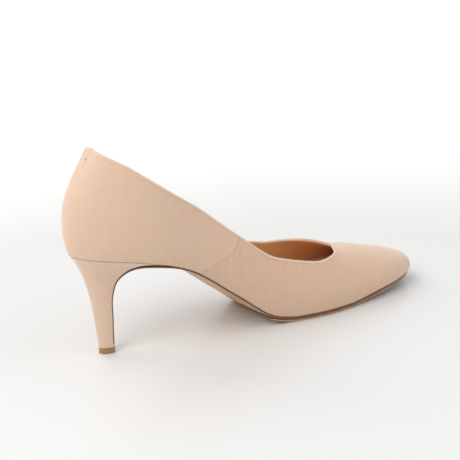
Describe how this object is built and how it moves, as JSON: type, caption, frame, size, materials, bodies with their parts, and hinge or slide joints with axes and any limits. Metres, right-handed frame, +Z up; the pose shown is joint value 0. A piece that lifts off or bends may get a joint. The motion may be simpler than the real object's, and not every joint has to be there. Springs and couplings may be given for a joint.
{
  "type": "high heel pump",
  "caption": "Nude suede pump with a pointed toe, low-cut vamp, side seams, bound topline and a slim covered heel; the sole flexes at the ball.",
  "frame": {"origin": "centre of the heel tip's ground face", "axes": "+X towards the toe, +Y towards the outer side of the left foot, +Z up from the ground"},
  "size_m": [0.2327, 0.0663, 0.111],
  "materials": {
    "suede": "napped suede, nude beige",
    "suede_edge": "folded suede edge, paler",
    "lining": "tan brown lining leather, low sheen",
    "tape": "woven tape",
    "stiffener": "thermoplastic stiffener sheet",
    "board": "pressed cellulose board",
    "foam": "soft foam",
    "leather_sole": "finished sole leather",
    "tread": "thin tan rubber tread",
    "heel_plastic": "moulded heel plastic",
    "tip": "tan brown heel tip",
    "steel": "drawn steel"
  },
  "bodies": {
    "rearfoot": {"quarter": "suede", "topline_binding": "suede_edge", "topline_tape": "tape", "quarter_lining": "lining", "heel_counter": "stiffener", "insole_board": "board", "shank": "steel", "shank_rivet_1": "steel", "shank_rivet_2": "steel", "heel_pad": "foam", "arch_pad": "foam", "sock_lining": "lining", "outsole": "leather_sole", "heel_block": "heel_plastic", "heel_cover": "suede", "heel_tip": "tip", "heel_tip_dowel": "steel", "heel_tube": "steel", "heel_screw": "steel", "heel_nail_1": "steel", "heel_nail_2": "steel", "heel_nail_3": "steel", "heel_nail_4": "steel"},
    "forefoot": {"vamp": "suede", "vamp_lining": "lining", "toe_puff": "stiffener", "insole_forepart": "board", "bottom_filler": "foam", "forepart_cushion": "foam", "tread_sole": "tread"}
  },
  "joints": [
    {"name": "ball_flex", "type": "hinge", "parent": "rearfoot", "child": "forefoot", "pos_m": [0.1137, 0, 0.0098], "axis": [0, -1, 0], "range_deg": [0, 25], "stiffness_Nm_per_rad": 2, "deforming": ["vamp", "vamp_lining", "topline_binding", "topline_tape", "sock_lining", "outsole", "tread_sole"]}
  ]
}
